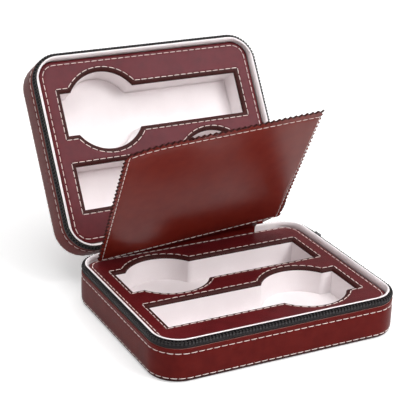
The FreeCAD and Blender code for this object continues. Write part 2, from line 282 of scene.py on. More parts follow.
def shader(name):
    """New material, its principled node and its makers of nodes and links."""
    material = bpy.data.materials.new(name)
    material.use_nodes = True
    node, join = tools(material.node_tree)
    return material, material.node_tree.nodes["Principled BSDF"], node, join


def two_tone(node, join, factor, colour, dark, bsdf):
    """Base colour that goes from dark to colour with a factor."""
    mix = node("ShaderNodeMix", data_type="RGBA")
    mix.inputs[MIX_A].default_value = (*dark, 1)
    mix.inputs[MIX_B].default_value = (*colour, 1)
    join(factor, mix.inputs[MIX_FACTOR])
    join(mix.outputs[MIX_RESULT], bsdf.inputs["Base Color"])


def leather(name, colour, dark, rough, grain=0.12, grain_scale=1500.0, gloss=0.14,
            tint=(1.0, 1.0, 1.0), creases=0.2):
    """Smooth coated leather: fine grain, soft creases and slight changes of sheen."""
    material, bsdf, node, join = shader(name)
    place_node = node("ShaderNodeTexCoord")
    cells = node("ShaderNodeTexVoronoi", feature="DISTANCE_TO_EDGE", Scale=grain_scale)
    fine = node("ShaderNodeTexNoise", Scale=grain_scale * 1.7, Detail=3.0)
    broad = node("ShaderNodeTexNoise", Scale=38.0, Detail=3.0)
    patch = node("ShaderNodeTexNoise", Scale=120.0, Detail=4.0)
    for texture in (cells, fine, broad, patch):
        join(place_node.outputs["Object"], texture.inputs["Vector"])
    ramp = node("ShaderNodeMapRange", From_Max=0.16)
    join(cells.outputs["Distance"], ramp.inputs["Value"])
    bump_cells = node("ShaderNodeBump", Strength=grain, Distance=0.00012)
    bump_fine = node("ShaderNodeBump", Strength=grain * 0.7, Distance=0.00008)
    bump_broad = node("ShaderNodeBump", Strength=creases, Distance=0.0012)
    join(broad.outputs["Fac"], bump_broad.inputs["Height"])
    join(fine.outputs["Fac"], bump_fine.inputs["Height"])
    join(bump_broad.outputs["Normal"], bump_fine.inputs["Normal"])
    join(ramp.outputs["Result"], bump_cells.inputs["Height"])
    join(bump_fine.outputs["Normal"], bump_cells.inputs["Normal"])
    join(bump_cells.outputs["Normal"], bsdf.inputs["Normal"])
    levels = node("ShaderNodeMapRange", From_Min=0.3, From_Max=0.62)
    join(patch.outputs["Fac"], levels.inputs["Value"])
    two_tone(node, join, levels.outputs["Result"], colour, dark, bsdf)
    sheen = node("ShaderNodeMapRange", To_Min=rough - 0.05, To_Max=rough + 0.08)
    join(broad.outputs["Fac"], sheen.inputs["Value"])
    join(sheen.outputs["Result"], bsdf.inputs["Roughness"])
    settle(bsdf, Specular_IOR_Level=gloss, Specular_Tint=(*tint, 1))
    return material


def cloth(name, colour, shade, scale, strength):
    """Short-pile cloth: speckled colour, sheen and a fine bump."""
    material, bsdf, node, join = shader(name)
    place_node = node("ShaderNodeTexCoord")
    pile = node("ShaderNodeTexNoise", Scale=scale, Detail=4.0, Roughness=0.7)
    brush = node("ShaderNodeTexNoise", Scale=45.0, Detail=2.0)
    join(place_node.outputs["Object"], pile.inputs["Vector"])
    join(place_node.outputs["Object"], brush.inputs["Vector"])
    both = node("ShaderNodeMath", operation="MULTIPLY")
    join(pile.outputs["Fac"], both.inputs[0])
    join(brush.outputs["Fac"], both.inputs[1])
    levels = node("ShaderNodeMapRange", From_Min=0.12, From_Max=0.38)
    join(both.outputs["Value"], levels.inputs["Value"])
    two_tone(node, join, levels.outputs["Result"], colour, shade, bsdf)
    bump = node("ShaderNodeBump", Strength=strength, Distance=0.0003)
    join(pile.outputs["Fac"], bump.inputs["Height"])
    join(bump.outputs["Normal"], bsdf.inputs["Normal"])
    settle(bsdf, Roughness=0.95, Sheen_Weight=0.6, Sheen_Roughness=0.4, Specular_IOR_Level=0.15)
    return material


def woven(name, colour, scale, strength, rough=0.75):
    """Ribbed weave for tape and thread."""
    material, bsdf, node, join = shader(name)
    place_node = node("ShaderNodeTexCoord")
    ribs = []
    for axis in ("X", "Y", "Z"):
        wave = node("ShaderNodeTexWave", wave_type="BANDS", bands_direction=axis, Scale=scale)
        join(place_node.outputs["Object"], wave.inputs["Vector"])
        ribs.append(wave.outputs["Fac"])
    first = node("ShaderNodeMath", operation="MULTIPLY")
    join(ribs[0], first.inputs[0])
    join(ribs[1], first.inputs[1])
    second = node("ShaderNodeMath", operation="ADD")
    join(first.outputs["Value"], second.inputs[0])
    join(ribs[2], second.inputs[1])
    bump = node("ShaderNodeBump", Strength=strength, Distance=0.0003)
    join(second.outputs["Value"], bump.inputs["Height"])
    join(bump.outputs["Normal"], bsdf.inputs["Normal"])
    settle(bsdf, Base_Color=(*colour, 1), Roughness=rough, Sheen_Weight=0.1, Specular_IOR_Level=0.2)
    return material


def plain(name, colour, rough, metal=0.0, bump_scale=900.0, bump_strength=0.1):
    """Even material with a faint bump: plastic, metal, board or foam."""
    material, bsdf, node, join = shader(name)
    place_node = node("ShaderNodeTexCoord")
    noise = node("ShaderNodeTexNoise", Scale=bump_scale, Detail=4.0)
    join(place_node.outputs["Object"], noise.inputs["Vector"])
    bump = node("ShaderNodeBump", Strength=bump_strength, Distance=0.0002)
    join(noise.outputs["Fac"], bump.inputs["Height"])
    join(bump.outputs["Normal"], bsdf.inputs["Normal"])
    spread = node("ShaderNodeMapRange", To_Min=max(0.05, rough - 0.1), To_Max=min(1.0, rough + 0.1))
    join(noise.outputs["Fac"], spread.inputs["Value"])
    join(spread.outputs["Result"], bsdf.inputs["Roughness"])
    settle(bsdf, Base_Color=(*colour, 1), Metallic=metal)
    return material


LEATHER = leather("burgundy_leather", (0.126, 0.0095, 0.0075), (0.100, 0.0065, 0.0055), rough=0.28,
                  gloss=0.07)
SHEET = leather("divider_leather", (0.180, 0.018, 0.010), (0.158, 0.014, 0.008), rough=0.22, grain=0.05,
                gloss=0.26, creases=0.03)
# Dark edge leather for turned edges, the band's underside and the divider's sides: partly the pressed edges'
# own darker tone, partly painted shade.
DARK_EDGE_AND_SHADE = leather("burgundy_leather_dark_edge_and_shade", (0.052, 0.011, 0.010), (0.036, 0.007, 0.006), rough=0.5)
# Lighter cut edge along the band's top: partly the raw edge's own tone, partly a painted highlight where the
# edge catches the light.
CUT_EDGE_AND_HIGHLIGHT = plain("leather_cut_edge_and_highlight", (0.34, 0.15, 0.13), 0.7)
PANEL = leather("panel_leather", (0.108, 0.008, 0.010), (0.082, 0.0055, 0.007), rough=0.38, grain=0.3,
                grain_scale=1100.0, gloss=0.27, tint=(1.0, 0.80, 0.90))
VELVET = cloth("velvet", (0.93, 0.872, 0.880), (0.865, 0.80, 0.81), 2600.0, 0.5)
TAPE = woven("zipper_tape", (0.0085, 0.0045, 0.0065), 900.0, 0.6)
TEETH = plain("zipper_teeth", (0.0065, 0.004, 0.005), 0.5)
METAL = plain("zipper_metal", (0.16, 0.16, 0.17), 0.3, metal=1.0)
THREAD = woven("thread", (0.93, 0.79, 0.75), 1400.0, 0.3, rough=0.8)
BOARD = plain("grey_board", (0.36, 0.33, 0.28), 0.9, bump_scale=500.0, bump_strength=0.4)
FOAM = plain("foam", (0.62, 0.61, 0.58), 0.95, bump_scale=1500.0, bump_strength=0.8)


# ---------------------------------------------------------------- stitches

STITCH_PITCH, DIVIDER_PITCH = 5.6, 5.2
STITCH_LENGTH = 5.15
THREAD_WIDTH, THREAD_FLATNESS = 0.29, 0.8
THREAD_LIFT, THREAD_DIVE, THREAD_SINK = 0.26, 0.25, 0.35
THREAD_TAPER = 0.45
THREAD_WANDER = 0.12
THREAD_SIDES, THREAD_RINGS = 6, 7
# Distance to both sides over which the run's direction is taken
THREAD_SIGHT = 0.3


def stitches(soup, run, normals, pitch=STITCH_PITCH):
    """Thread bridges along one smooth run. Each arches out of the leather and dives back in."""
    run, normals = np.asarray(run, float), np.asarray(normals, float)
    steps = np.linalg.norm(np.diff(run, axis=0), axis=1)
    along = np.concatenate([[0], np.cumsum(steps)])

    def at(s, rows):
        return np.array([np.interp(s, along, rows[:, i]) for i in range(3)])

    count = max(1, round(along[-1] / pitch))
    share = along[-1] / count
    length = STITCH_LENGTH * share / pitch
    angles = [2 * math.pi * i / THREAD_SIDES for i in range(THREAD_SIDES)]
    for k in range(count):
        middle = (k + 0.5) * share
        wander = (random.random() - 0.5) * THREAD_WANDER
        loops = []
        for j in range(THREAD_RINGS):
            t = -1 + 2 * j / (THREAD_RINGS - 1)
            s = min(max(middle + t * length / 2, 0), along[-1])
            up = at(s, normals)
            up /= np.linalg.norm(up)
            ahead = at(min(s + THREAD_SIGHT, along[-1]), run) - at(max(s - THREAD_SIGHT, 0), run)
            ahead /= np.linalg.norm(ahead)
            across = np.cross(up, ahead)
            rise = THREAD_LIFT * (1 - abs(t) ** 3.0) - THREAD_DIVE * abs(t) ** 6
            fat = THREAD_WIDTH * (1 - THREAD_TAPER * abs(t) ** 4)
            centre = at(s, run) + up * (rise - THREAD_WIDTH * THREAD_SINK) + across * wander * t
            loops.append(np.array([centre + across * fat * math.cos(a)
                                   + up * fat * THREAD_FLATNESS * math.sin(a) for a in angles]))
        soup.loft(loops)
        soup.cap(loops)


def ring_stitches(soup, inset, z, outward, radius=None):
    """Stitches round the case at an inset and height, with level or upright normals."""
    flat, normals = rounded(inset, CORNER - inset if radius is None else radius)
    run = level(flat, z)
    up = level(normals, 0.0) if outward else np.tile((0.0, 0.0, 1.0), (len(flat), 1))
    stitches(soup, np.vstack([run, run[:1]]), np.vstack([up, up[:1]]))


# ---------------------------------------------------------------- the halves

# Profiles are (inset or growth, height) or (inset or growth, height, material of the strip that
# ends there): 0 is the face, 1 the cut edge, lighter partly as a painted highlight, and 2 the turned
# edge, darker partly as painted shade.

BAND_SEAMS = ((0.20, 21.5), (0.24, 3.15))


def band(side, matrix):
    """Leather band: cut edge, pressed stitch lines, slight fullness and a turned lower edge."""
    # The top cut edge is coloured lighter, partly a painted highlight; the lower edge and underside are
    # coloured dark, partly painted shade.
    profile = [(1.9, 20.8, 0), (1.25, 21.2, 0), (1.25, 24.8, 0), (1.05, 25.0, 1), (0.35, 25.0, 1),
               (0.12, 24.75, 0), (0.02, 24.2, 0), (0.02, 22.4, 0), (0.14, 21.9, 0), (0.30, 21.5, 0),
               (0.14, 21.1, 0), (0.02, 20.6, 0), (-0.06, 19.0, 0), (-0.12, 15.0, 0), (-0.12, 10.0, 0),
               (-0.06, 6.0, 0), (0.02, 4.1, 0), (0.16, 3.6, 0), (0.34, 3.2, 0), (0.30, 2.8, 0),
               (0.32, 2.3, 2), (0.55, 1.6, 2), (1.0, 0.8, 2), (1.7, 0.25, 2), (2.6, 0.0, 2),
               (7.9, 0.0, 2), (8.0, 0.1, 2), (8.0, 1.2, 0)]
    loops = [ring(inset, z)[::-1] for inset, z, _ in profile]
    shades = [mark for _, _, mark in profile[1:]]
    Soup().loft(loops, shades=shades).make(
        side + "_band", [LEATHER, CUT_EDGE_AND_HIGHLIGHT, DARK_EDGE_AND_SHADE], matrix, side, "burgundy_leather",
        [side + "_side_leather"], sharp=50.0)
    thread = Soup()
    for inset, z in BAND_SEAMS:
        ring_stitches(thread, inset, z, True)
    thread.make(side + "_band_stitches", [THREAD], matrix, side, "velvet", sharp=80.0)


PANEL_SEAM, PANEL_SEAM_TOP = 3.4, 26.92


def panel(side, matrix):
    """Panel leather over its board: pressed seams and edges that turn down into the wells."""
    # The edges that turn down into the wells are coloured dark, partly painted shade.
    edge = [(5.0, 27.10, 0), (4.3, 27.09, 0), (3.8, 26.98, 0), (3.4, 26.86, 0), (3.0, 26.90, 2),
            (2.3, 26.84, 2), (1.5, 26.68, 2), (0.9, 26.42, 2), (0.45, 26.05, 2), (0.15, 25.6, 2),
            (0.0, 25.1, 2), (0.0, 24.6, 2)]
    soup = Soup()
    shades = [mark for _, _, mark in edge[1:]]
    outer = [ring(PANEL_INSET + d, z, PANEL_RADIUS - d) for d, z, _ in edge]
    soup.loft([loop[::-1] for loop in outer])
    holes = []
    for _, head_x, row_y in ROWS:
        loops = [key_ring(head_x, row_y, growth, z) for growth, z, _ in edge]
        soup.loft(loops, shades=shades)
        holes.append(loops[0])
    flat, faces = fill(outer[0], holes)
    soup.add(level(flat, PANEL_TOP), faces)
    soup.make(side + "_panel", [PANEL, CUT_EDGE_AND_HIGHLIGHT, DARK_EDGE_AND_SHADE], matrix, side, "burgundy_leather",
              [side + "_panel_leather", side + "_panel_board"], sharp=50.0)
    thread = Soup()
    ring_stitches(thread, PANEL_INSET + PANEL_SEAM, PANEL_SEAM_TOP, False, PANEL_RADIUS - PANEL_SEAM)
    for _, head_x, row_y in ROWS:
        for run in keyhole(head_x, row_y, PANEL_SEAM):
            stitches(thread, level(run, PANEL_SEAM_TOP), np.tile((0.0, 0.0, 1.0), (len(run), 1)))
    thread.make(side + "_panel_stitches", [THREAD], matrix, side, "velvet", sharp=80.0)


# Loss of corner radius for each millimetre that the lip swells past the wall
LIP_TIGHTENING = 2.5
# Part of the outline, by how far it faces the back, over which the lip grows slim
SLIM_FROM, SLIM_SPAN = 0.2, 0.7


def lip_ring(inset, z, slim):
    """Loop of the lining at an inset and height. At the back, where the strip passes, it stays slim."""
    swollen = WALL_RADIUS - LIP_TIGHTENING * (inset - WALL_INSET)
    flat, normals = rounded(inset, CORNER - inset if inset < WALL_INSET else swollen)
    thin, _ = rounded(slim, CORNER - slim if slim < WALL_INSET else WALL_RADIUS)
    share = np.clip((normals[:, 1] - SLIM_FROM) / SLIM_SPAN, 0, 1)[:, None]
    share = share * share * (3 - 2 * share)
    return level(flat * (1 - share) + thin * share, z)


def rim(side, matrix):
    """Padded velvet lip over the wall and down to the panel's edge, bound in tape outside."""
    # Inset, height and inset at the back
    profile = [(2.5, 28.7, 2.5), (2.45, 29.6, 2.45), (2.5, 30.1, 2.5), (2.68, 30.5, 2.65),
               (2.95, 30.75, 2.9), (3.3, 30.86, 3.2), (3.7, 30.82, 3.5), (4.1, 30.62, 3.8),
               (4.5, 30.25, 4.1), (4.85, 29.75, 4.3), (5.12, 29.15, 4.42), (5.3, 28.5, 4.46),
               (5.38, 27.8, 4.48), (5.36, 27.1, 4.5), (5.2, 26.3, 4.5), (4.8, 25.5, 4.5),
               (4.5, 24.9, 4.5), (4.5, 20.1, 4.5)]
    bound = 3
    shades = [1 if k < bound else 0 for k in range(len(profile) - 1)]
    Soup().loft([lip_ring(*entry) for entry in profile], shades=shades).make(
        side + "_rim", [VELVET, TAPE], matrix, side, "velvet", [side + "_rim_lining"], sharp=60.0)


def well(side, name, head_x, row_y, matrix):
    """Velvet cup of one well: soft walls, a pressed groove at the foot and a padded floor."""
    profile = [(0.75, 24.6), (0.1, 24.6), (-0.05, 24.2), (-0.1, 20.0), (-0.15, 15.0), (-0.3, 11.0),
               (-0.5, 9.2), (-0.62, 8.2), (-0.7, 7.5), (-0.95, 7.45), (-1.3, 7.9), (-2.0, 8.25),
               (-3.2, 8.35), (-5.0, 8.2)]
    loops = [key_ring(head_x, row_y, growth, z) for growth, z in profile]
    soup = Soup().loft(loops)
    flat, faces = fill(loops[-1], [])
    soup.add(level(flat, profile[-1][1]), faces)
    soup.make(f"{side}_{name}_well", [VELVET], matrix, side, "velvet",
              [f"{side}_{name}_well_lining"], sharp=60.0)


def zip_path(distance):
    """Place and outward normal on the zipper's line, measured from the middle of the front."""
    run_x, run_y, radius = HALF_X - ZIP_INSET, HALF_Y - ZIP_INSET, CORNER - ZIP_INSET
    arc = math.pi * radius / 2
    front, sides = run_x - radius, 2 * (run_y - radius)
    sign = 1 if distance >= 0 else -1
    left = abs(distance)
    if left <= front:
        x, y, heading = left, -run_y, 0
    elif left <= front + arc:
        heading = (left - front) / radius
        x = run_x - radius + radius * math.sin(heading)
        y = -run_y + radius - radius * math.cos(heading)
    elif left <= front + arc + sides:
        heading = math.pi / 2
        x, y = run_x, -run_y + radius + left - front - arc
    elif left <= front + 2 * arc + sides:
        more = (left - front - arc - sides) / radius
        heading = math.pi / 2 + more
        x = run_x - radius + radius * math.cos(more)
        y = run_y - radius + radius * math.sin(more)
    else:
        heading = math.pi
        x, y = front - (left - front - 2 * arc - sides), run_y
    return sign * x, y, sign * math.sin(heading), -math.cos(heading)


def zip_reach():
    """Length of the zipper's line from the middle of the front to the tape's end."""
    radius = CORNER - ZIP_INSET
    front = HALF_X - ZIP_INSET - radius
    return front + 2 * (HALF_Y - ZIP_INSET - radius) + math.pi * radius + front - TAPE_END


TAPE_SAMPLES = 520
TOOTH_PITCH = 2.5
TOOTH_END_GAP = 3.0


def zipper(side, matrix):
    """Tape that swells out to the band's face, and moulded teeth clamped on its edge."""
    reach = zip_reach()
    path = np.array([zip_path(d) for d in np.linspace(-reach, reach, TAPE_SAMPLES)])
    # Distance out from the zipper's line, and height
    profile = [(0.4, 21.0), (0.4, 24.7), (0.62, 25.15), (1.0, 25.7), (1.3, 26.4), (1.4, 27.2),
               (1.34, 27.9), (1.05, 28.45), (0.6, 28.75), (0.1, 28.8), (-0.35, 28.65), (-0.6, 28.2),
               (-0.6, 27.5), (-0.4, 26.6), (-0.4, 21.0)]
    loops = [level(path[:, :2] + out * path[:, 2:], z) for out, z in profile]
    Soup().loft(loops, closed=False).make(
        side + "_tape", [TAPE], matrix, side, "zipper_tape", [side + "_zipper_tape"])
    # Half length, distance out, height and distance in
    shape = [(0.80, 1.50, 27.6, 0.70), (0.86, 1.56, 27.8, 0.7), (0.82, 1.50, 28.5, 0.7),
             (0.50, 1.25, 28.8, 0.65), (0.46, 1.15, 29.2, 0.6), (0.62, 1.15, 29.4, 0.6),
             (0.60, 1.05, 29.75, 0.55), (0.40, 0.8, 29.9, 0.35)]
    teeth = Soup()
    count = int((reach - TOOTH_END_GAP) / TOOTH_PITCH)
    for step in range(-count, count + 1):
        x, y, nx, ny = zip_path(step * TOOTH_PITCH + TOOTH_PITCH / 4)
        tx, ty = -ny, nx
        loops = []
        for half_run, out, z, back in shape:
            loops.append(np.array([(x + tx * half_run * a + nx * o, y + ty * half_run * a + ny * o, z)
                                   for a, o in ((-1, -back), (1, -back), (1, out), (-1, out))]))
        teeth.loft(loops)
        teeth.cap(loops)
    teeth.make(side + "_teeth", [TEETH], matrix, side, "zipper_teeth", [side + "_zipper_teeth"],
               sharp=30.0)


COVER_INSET = 8.2
COVER_FULLNESS = {"base": -0.15, "lid": 1.0}


def cover(side, matrix):
    """Sheet over the tray's floor: slightly hollow under the base, slightly full over the lid."""
    loops = [ring(COVER_INSET, 1.2), ring(COVER_INSET, 0.25), ring(8.5, 0.0)]
    least_radius = 2.0
    for inset, share in ((10.0, 0.12), (14.0, 0.4), (20.0, 0.7), (30.0, 0.9), (45.0, 0.98), (60.0, 1.0)):
        loops.append(ring(inset, -COVER_FULLNESS[side] * share, max(CORNER - inset, least_radius)))
    soup = Soup().loft([loop[::-1] for loop in loops])
    soup.fan(loops[-1], flip=True)
    soup.make(side + "_cover", [LEATHER], matrix, side, "burgundy_leather", [side + "_cover_leather"])


for side, matrix in SIDES:
    band(side, matrix)
    cover(side, matrix)
    panel(side, matrix)
    rim(side, matrix)
    for name, head_x, row_y in ROWS:
        well(side, name, head_x, row_y, matrix)
    zipper(side, matrix)


# ---------------------------------------------------------------- spine

SPINE_Y, SPINE_LOW, SPINE_HIGH = 77.0, 13.85, 29.5
SPINE_LEG_STEPS, SPINE_BEND_STEPS = 16, 12
SPINE_BEND_PULL = (SPINE_Y, 31.92)
SPINE_HALF, SPINE_HALF_THICKNESS, SPINE_EDGE = 66.0, 0.5, 0.5


def spine():
    """One leather strip sewn to both bands, folded at the lid's hinge."""
    heights = np.linspace(SPINE_LOW, SPINE_HIGH, SPINE_LEG_STEPS)
    base_leg = [(SPINE_Y, z) for z in heights]
    lid_leg = [tuple(place([(0, SPINE_Y, z)], LID)[0][1:]) for z in heights[::-1]]
    a, b, c = np.array(base_leg[-1]), np.array(SPINE_BEND_PULL), np.array(lid_leg[0])
    bend = [tuple((1 - t) ** 2 * a + 2 * t * (1 - t) * b + t * t * c)
            for t in np.linspace(0, 1, SPINE_BEND_STEPS)[1:-1]]
    line = np.array(base_leg + bend + lid_leg)
    tangent = np.gradient(line, axis=0)
    tangent /= np.linalg.norm(tangent, axis=1)[:, None]
    normal = np.column_stack([tangent[:, 1], -tangent[:, 0]])
    inner = np.linspace(-SPINE_HALF + SPINE_EDGE, SPINE_HALF - SPINE_EDGE, 40)
    across = np.concatenate([[-SPINE_HALF], inner, [SPINE_HALF]])
    loops = []
    for spot, away in zip(line, normal * SPINE_HALF_THICKNESS):
        top = [(x, *(spot + away)) for x in across]
        low = [(x, *(spot - away)) for x in across[::-1]]
        loops.append(np.array(top + low))
    soup = Soup().loft(loops)
    soup.cap(loops)
    strip = soup.make("spine_strip", [LEATHER], sharp=50.0)
    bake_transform(strip)
    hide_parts("base_spine_leaf", "lid_spine_leaf")


spine()


# ---------------------------------------------------------------- divider

CORNER_STEPS = 8


def quarter(x, y, radius, first):
    """Quarter circle about a point from an angle on, counter-clockwise."""
    angles = [math.radians(first + 90 * step / CORNER_STEPS) for step in range(CORNER_STEPS + 1)]
    return [(x + radius * math.cos(a), y + radius * math.sin(a)) for a in angles]


def straight(start, end, steps):
    """Points of a line from its start up to, not including, its end."""
    return [(start[0] + (end[0] - start[0]) * t / steps, start[1] + (end[1] - start[1]) * t / steps)
            for t in range(steps)]


PINK_PITCH, PINK_DEPTH = 4.5, 2.0
DIVIDER_CORNER = 3.0
# The free right-hand corner, where the hem grows wider
FAR_CORNER = (DIV_X1 - 1.8, DIV_Y0 - 2.7)


def divider_outline():
    """Pinked sides and front and a plain back with round corners, as a closed loop."""
    def pinked(start, end, inward):
        start, end, inward = map(np.array, (start, end, inward))
        count = max(1, round(np.linalg.norm(end - start) / PINK_PITCH))
        out = []
        for k in range(count):
            out.append(start + (end - start) * (k / count))
            out.append(start + (end - start) * ((k + 0.5) / count) + inward * PINK_DEPTH)
        return out

    back = DIV_Y1 - DIVIDER_CORNER
    points = pinked((DIV_X0, back), (DIV_X0, DIV_Y0), (1, 0))
    points += pinked((DIV_X0, DIV_Y0), FAR_CORNER, (0, 1))
    points += pinked(FAR_CORNER, (DIV_X1, back), (-1, 0))
    points += quarter(DIV_X1 - DIVIDER_CORNER, back, DIVIDER_CORNER, 0)
    points += quarter(DIV_X0 + DIVIDER_CORNER, back, DIVIDER_CORNER, 90)
    return np.array(points[:-1], float)


HEM, HEM_BACK = 3.5, 0.7
SEAM_RADIUS, SEAM_LEAST_RADIUS = 1.6, 0.6
SEAM_SIDE_STEPS, SEAM_FRONT_STEPS = 40, 48


def seam_loop(inset):
    """Rectangle with round back corners, at a distance inside the divider's stitch line."""
    x0, x1 = DIV_X0 + HEM + inset, DIV_X1 - HEM - inset
    y0, y1 = DIV_Y0 + HEM + inset, DIV_Y1 - HEM_BACK - inset
    radius = max(SEAM_LEAST_RADIUS, SEAM_RADIUS - inset)
    back = y1 - radius
    loop = straight((x0, back), (x0, y0), SEAM_SIDE_STEPS)
    loop += straight((x0, y0), (x1, y0), SEAM_FRONT_STEPS)
    loop += straight((x1, y0), (x1, back), SEAM_SIDE_STEPS)
    loop += quarter(x1 - radius, back, radius, 0)
    loop += straight((x1 - radius, y1), (x0 + radius, y1), SEAM_SIDE_STEPS)[1:]
    loop += quarter(x0 + radius, back, radius, 90)[:-1]
    return np.array(loop)


def seam_depth(x, y):
    """Distance in from the divider's stitch line, negative in the hem."""
    return min(x - DIV_X0 - HEM, DIV_X1 - HEM - x, y - DIV_Y0 - HEM, DIV_Y1 - HEM_BACK - y)


def divider_height(x, y):
    """Half thickness of the divider, thinner along the stitch line and in the hem."""
    depths = (-4.0, -1.2, -0.5, 0.0, 0.5, 1.4, 3.0, 12.0, 80.0)
    halves = (0.72, 0.86, 0.76, 0.60, 0.76, 0.98, 1.07, 1.1, 1.1)
    return float(np.interp(seam_depth(x, y), depths, halves))


def relaxed(points):
    """Divider points with the free edge's soft bow: its left corner hangs back a little."""
    points = np.array(points, float)
    along = (points[:, 0] - DIV_X0) / (DIV_X1 - DIV_X0)
    bow = np.interp(along, (-0.1, 0.02, 0.06, 0.12, 0.2, 0.3, 0.45, 0.62, 0.8, 0.97, 1.1),
                    (0, 0, 1.5, 3.0, 3.7, 3.3, 2.5, 1.8, 1.0, 0, 0))
    up = np.clip((DIV_Y1 - points[:, 1]) / (DIV_Y1 - DIV_Y0), 0, 1)
    points[:, 1] -= bow * up ** 3
    return points


FIELD_MARGIN, FIELD_BACK_MARGIN = 12, 10
SHEET_GAP = 0.03
DIVIDER_SEAM_LIFT = 0.68


def divider():
    """Two leather sheets over a board, sewn along the hem."""
    outline = divider_outline()
    spots = [tuple(p) for inset in (-0.5, 0.0, 0.5, 1.4, 3.0) for p in seam_loop(inset)]
    for x in np.linspace(DIV_X0 + FIELD_MARGIN, DIV_X1 - FIELD_MARGIN, 18):
        for y in np.linspace(DIV_Y0 + FIELD_MARGIN, DIV_Y1 - FIELD_BACK_MARGIN, 16):
            spots.append((x, y))
    flat, faces = fill(outline, [], spots)
    for name, sign, nodes in (("upper", 1, ["divider_upper_leather", "divider_core_board"]),
                              ("lower", -1, ["divider_lower_leather"])):
        def swollen(places):
            heights = [DIVIDER_LEVEL + sign * divider_height(x, y) for x, y in places]
            return relaxed(np.column_stack([places, heights]))

        soup = Soup()
        soup.add(swollen(flat), faces if sign > 0 else [tuple(reversed(f)) for f in faces])
        loops = [relaxed(level(outline, DIVIDER_LEVEL + sign * SHEET_GAP)), swollen(outline)]
        # The sheets' edge strip takes the dark edge leather, partly painted shade.
        soup.loft(loops if sign > 0 else loops[::-1], shades=[1])
        soup.make("divider_" + name, [SHEET, DARK_EDGE_AND_SHADE], RAISED, "divider", "burgundy_leather",
                  nodes, sharp=40.0)
        thread = Soup()
        run = relaxed(level(seam_loop(0.0), DIVIDER_LEVEL + sign * DIVIDER_SEAM_LIFT))
        run = np.vstack([run, run[:1]])
        stitches(thread, run, np.tile((0.0, 0.0, float(sign)), (len(run), 1)), DIVIDER_PITCH)
        thread.make(f"divider_{name}_stitches", [THREAD], RAISED, "divider", "velvet", sharp=80.0)


divider()

STRIP_STEPS, STRIP_LEVELS = 24, 14
STRIP_HALF_THICKNESS = 0.4
STRIP_BACK = HALF_Y - WALL_INSET - 0.1 - STRIP_HALF_THICKNESS
STRIP_LOW, STRIP_FOLD = 24.8, PANEL_TOP + 0.3
# Share of the strip below its fold, and how strongly the bend follows the panel and the divider
STRIP_LEG = 0.25
PULL_UP, PULL_BACK = 0.4, 0.45
STRIP_TUCK, STRIP_SIGHT = 0.1, 6.0


def hinge_strip():
    """Soft strip from behind the panel to the divider's back edge."""
    xs = np.linspace(STRIP_X0, STRIP_X1, STRIP_STEPS + 1)
    ends = place([(x, DIV_Y1 + STRIP_TUCK, DIVIDER_LEVEL) for x in xs], RAISED)
    lean = place([(x, DIV_Y1 - STRIP_SIGHT, DIVIDER_LEVEL) for x in xs], RAISED)

    def spot(i, t):
        low = np.array((xs[i], STRIP_BACK, STRIP_LOW))
        fold = np.array((xs[i], STRIP_BACK, STRIP_FOLD))
        if t < STRIP_LEG:
            return low + (fold - low) * (t / STRIP_LEG)
        end = ends[i]
        reach = np.linalg.norm(end - fold)
        away = (lean[i] - end) / np.linalg.norm(lean[i] - end)
        first = fold + np.array((0, 0, PULL_UP)) * reach
        second = end - away * PULL_BACK * reach
        s = (t - STRIP_LEG) / (1 - STRIP_LEG)
        return ((1 - s) ** 3 * fold + 3 * s * (1 - s) ** 2 * first + 3 * s * s * (1 - s) * second
                + s ** 3 * end)

    grid = np.array([[spot(i, k / STRIP_LEVELS) for i in range(len(xs))]
                     for k in range(STRIP_LEVELS + 1)])
    normal = np.cross(np.gradient(grid, axis=1), np.gradient(grid, axis=0))
    normal /= np.linalg.norm(normal, axis=2)[:, :, None]
    top, low = grid + normal * STRIP_HALF_THICKNESS, grid - normal * STRIP_HALF_THICKNESS
    loops = [np.concatenate([top[k], low[k][::-1]]) for k in range(STRIP_LEVELS + 1)]
    strip = Soup().loft(loops).make("divider_strip", [LEATHER], sharp=60.0)
    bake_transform(strip)
    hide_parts("divider_hinge_strip")


hinge_strip()


# ---------------------------------------------------------------- slider

PARK = 48.0
SLIDER_LOW, SLIDER_HIGH, SLIDER_HALF, NOSE_HALF = 20.5, 28.3, 5.5, 2.4
LUG_BACK, LUG_FRONT, LUG_HALF = 96.4, 100.0, 1.5
PIN_X, PIN_Z, PIN_RADIUS, PIN_HALF = 99.2, 25.8, 0.78, 3.0
TAB_LENGTH, TAB_SHOULDER, TAB_HALF = 20.0, 1.7, 3.0
TAB_FACE, TAB_BEVEL, TAB_BEVEL_DEPTH = 0.6, 0.25, 0.25
SLOT_RADIUS, SLOT_LOW, SLOT_HIGH = 1.2, 1.2, 5.8
EAR_RADIUS, EAR_Y, EAR_HALF = 1.45, 2.4, 0.6
SMALL_BEVEL = 0.2


def softened(corners, cut):
    """Closed 2-D loop through corners, each rounded over a cut length."""
    corners = np.array(corners, float)
    loop = []
    for k, corner in enumerate(corners):
        ends = []
        for other in (corners[k - 1], corners[(k + 1) % len(corners)]):
            ends.append(corner + (other - corner) * cut / np.linalg.norm(other - corner))
        for t in np.linspace(0, 1, 5):
            loop.append((1 - t) ** 2 * ends[0] + 2 * t * (1 - t) * corner + t * t * ends[1])
    return np.array(loop)


def shrunk(loop, by):
    """The loop drawn in towards its middle by about a distance."""
    middle = (loop.max(axis=0) + loop.min(axis=0)) / 2
    half = (loop.max(axis=0) - loop.min(axis=0)) / 2
    return middle + (loop - middle) * (half - by) / half


def slab(soup, loop, levels, axis):
    """Bevelled slab: the loop at levels along an axis, each with its own shrink, and two caps."""
    loops = [np.insert(shrunk(loop, by), axis, at, axis=1) for at, by in levels]
    if axis == 1:
        loops = [l[::-1] for l in loops]
    soup.loft(loops)
    soup.cap(loops)


